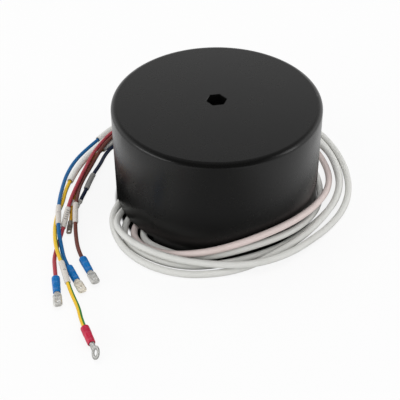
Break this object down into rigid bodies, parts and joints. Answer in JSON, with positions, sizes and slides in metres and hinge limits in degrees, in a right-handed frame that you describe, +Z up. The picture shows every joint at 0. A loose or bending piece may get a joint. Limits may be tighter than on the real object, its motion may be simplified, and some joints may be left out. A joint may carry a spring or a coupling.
{
  "type": "toroidal transformer",
  "caption": "Toroidal transformer potted in a round black moulded case, with a centre mounting bore and sleeved leads wrapped once round it, ending in crimp terminals.",
  "frame": {"origin": "centre of the case's rim plane, on the surface that it stands on", "axes": "+Z up the case's axis towards its closed roof; -Y the side round which the leads come; the lead ends lie on the -X side"},
  "size_m": [0.2334, 0.2964, 0.0855],
  "materials": {
    "case": "satin black moulded plastic",
    "resin": "cast black resin",
    "core_steel": "strip steel",
    "film": "polyester film",
    "winding": "enamelled copper",
    "sleeve": "satin pale grey sleeving",
    "sleeve_warm": "satin pale pinkish sleeving",
    "wire_blue": "satin",
    "wire_green": "satin, green and yellow",
    "wire_red": "satin",
    "wire_brown": "satin",
    "wire_yellow": "satin",
    "wire_navy": "satin",
    "marker": "satin off-white",
    "marker_grey": "satin",
    "crimp_blue": "translucent-looking blue",
    "crimp_red": "red",
    "tin": "tinned brass"
  },
  "bodies": {
    "root": {"housing": "case", "potting_resin": "resin", "toroid_core": "core_steel", "core_insulation": "film", "primary_winding": "winding", "interwinding_insulation": "film", "secondary_winding": "winding", "outer_wrap": "film", "sleeve_blue": "sleeve", "lead_blue": "wire_blue", "marker_blue": "marker", "sleeve_earth": "sleeve", "lead_earth": "wire_green", "marker_earth": "marker", "sleeve_red": "sleeve", "lead_red": "wire_red", "marker_red": "marker", "sleeve_brown": "sleeve_warm", "lead_brown": "wire_brown", "marker_brown": "marker", "sleeve_yellow": "sleeve", "lead_yellow": "wire_yellow", "marker_yellow": "marker", "sleeve_navy": "sleeve", "lead_navy": "wire_navy", "marker_navy": "marker_grey", "crimp_blue": "crimp_blue", "crimp_red": "crimp_blue", "crimp_brown": "crimp_blue", "crimp_earth": "crimp_red", "tab_blue": "tin", "tab_red": "tin", "tab_brown": "tin", "ring_earth": "tin", "tongue_yellow": "tin", "ferrule_navy": "tin"}
  },
  "joints": []
}
